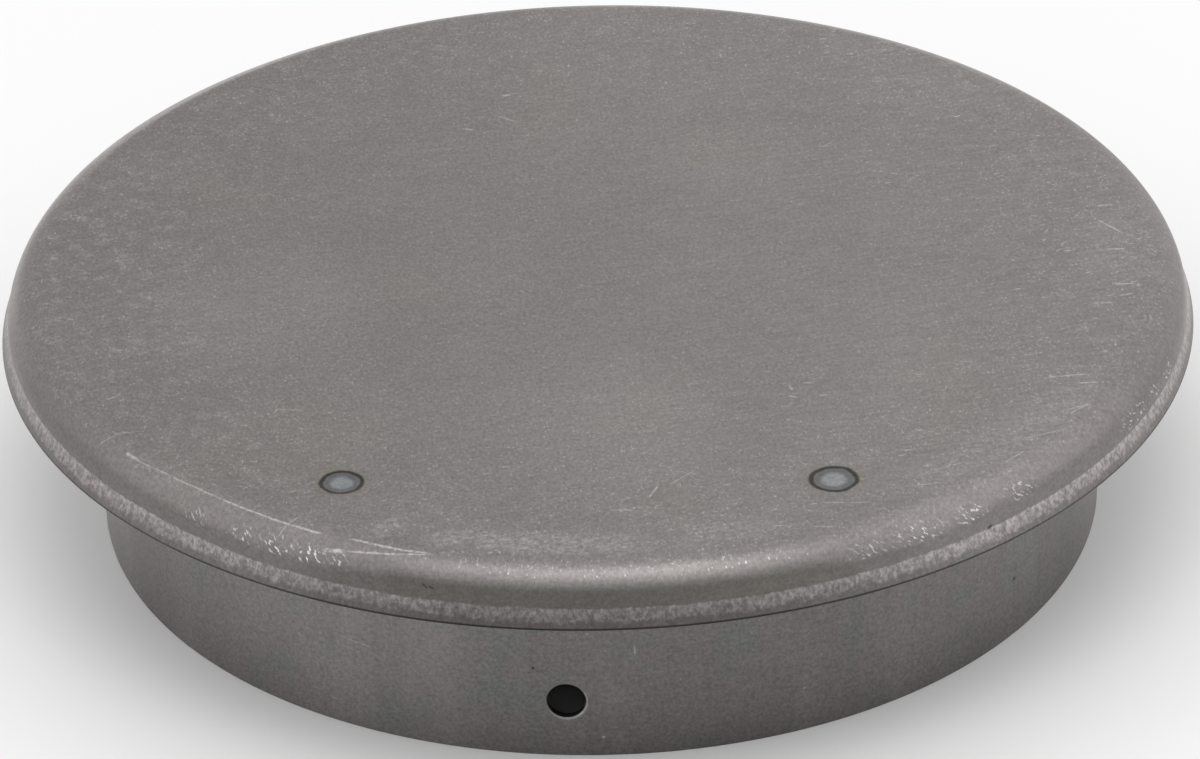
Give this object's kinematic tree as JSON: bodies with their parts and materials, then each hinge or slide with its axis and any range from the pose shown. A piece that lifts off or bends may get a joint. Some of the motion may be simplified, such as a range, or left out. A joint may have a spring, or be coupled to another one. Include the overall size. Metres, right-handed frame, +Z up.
{
  "type": "stovepipe blanking cap",
  "caption": "Round raw steel cap that closes the end of a stovepipe: a pressed lid with a bent rim, spot-welded over a rolled collar that slides into the pipe.",
  "frame": {"origin": "middle of the collar's foot, on the plane that the cap stands on", "axes": "+Z up through the lid, -Y towards the front with the fixing hole, +X to the right seen from the front"},
  "size_m": [0.1762, 0.1762, 0.038],
  "materials": {
    "lid_steel": "raw pressed sheet, matt with fine scratches",
    "collar_steel": "raw rolled sheet, smooth satin"
  },
  "bodies": {
    "root": {"lid": "lid_steel", "collar": "collar_steel"}
  },
  "joints": []
}
